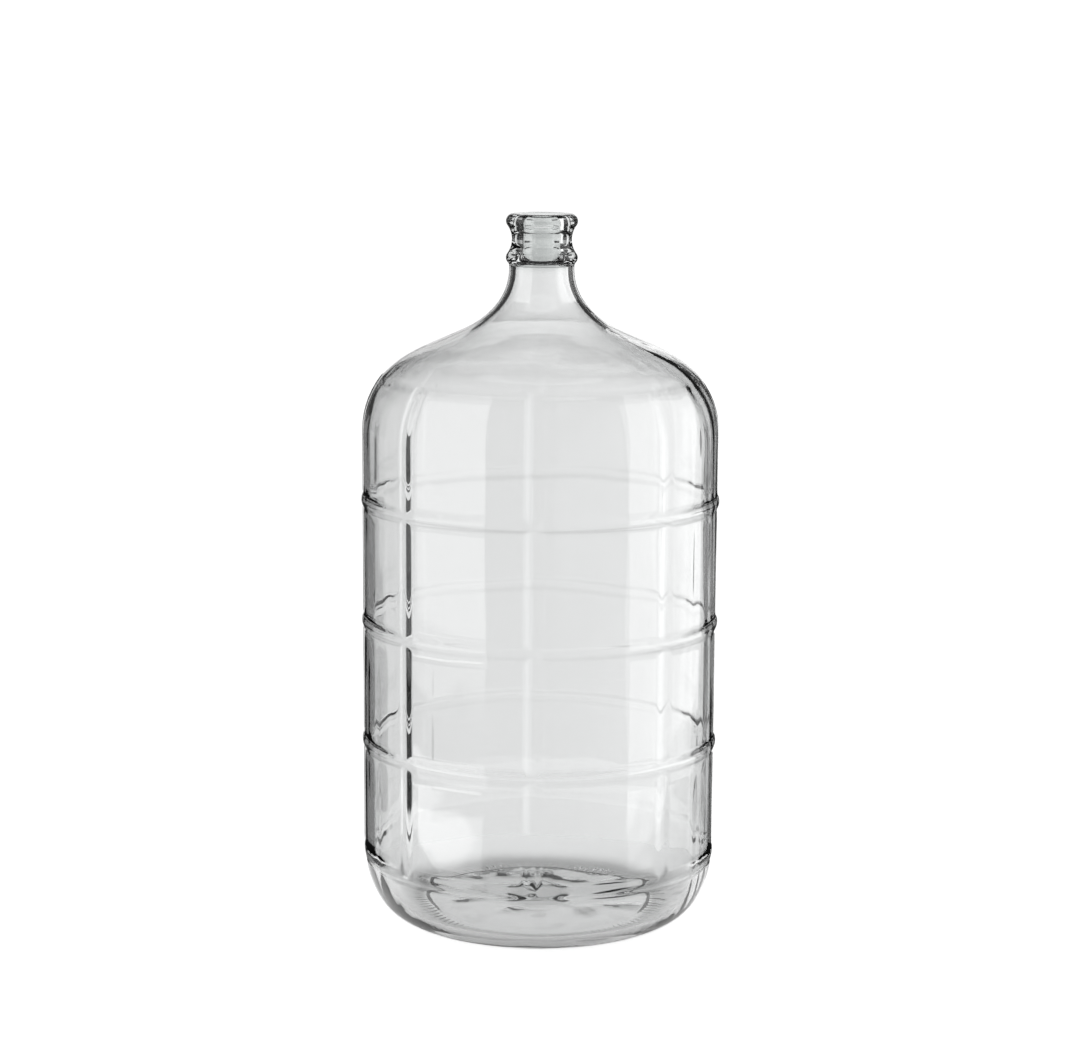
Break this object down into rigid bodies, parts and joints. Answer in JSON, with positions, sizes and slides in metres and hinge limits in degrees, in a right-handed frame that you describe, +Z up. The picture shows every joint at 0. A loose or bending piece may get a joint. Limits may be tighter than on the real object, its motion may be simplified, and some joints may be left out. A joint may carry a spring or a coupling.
{
  "type": "glass carboy",
  "caption": "Large clear glass carboy for home winemaking and brewing: ribbed barrel, rounded shoulder, slender neck with bead and rolled lip for a tapered bung.",
  "frame": {"origin": "centre of the bearing ring, on the surface that the carboy stands on", "axes": "+Z up along the axis of the vessel, towards the mouth; one of the eight staves faces 2 degrees to the left of -Y, seen from the front"},
  "size_m": [0.2768, 0.2768, 0.548],
  "materials": {
    "glass": "clear colourless bottle glass, smooth and glossy, index of refraction about 1.52"
  },
  "bodies": {
    "root": {"glass_carboy": "glass"}
  },
  "joints": []
}
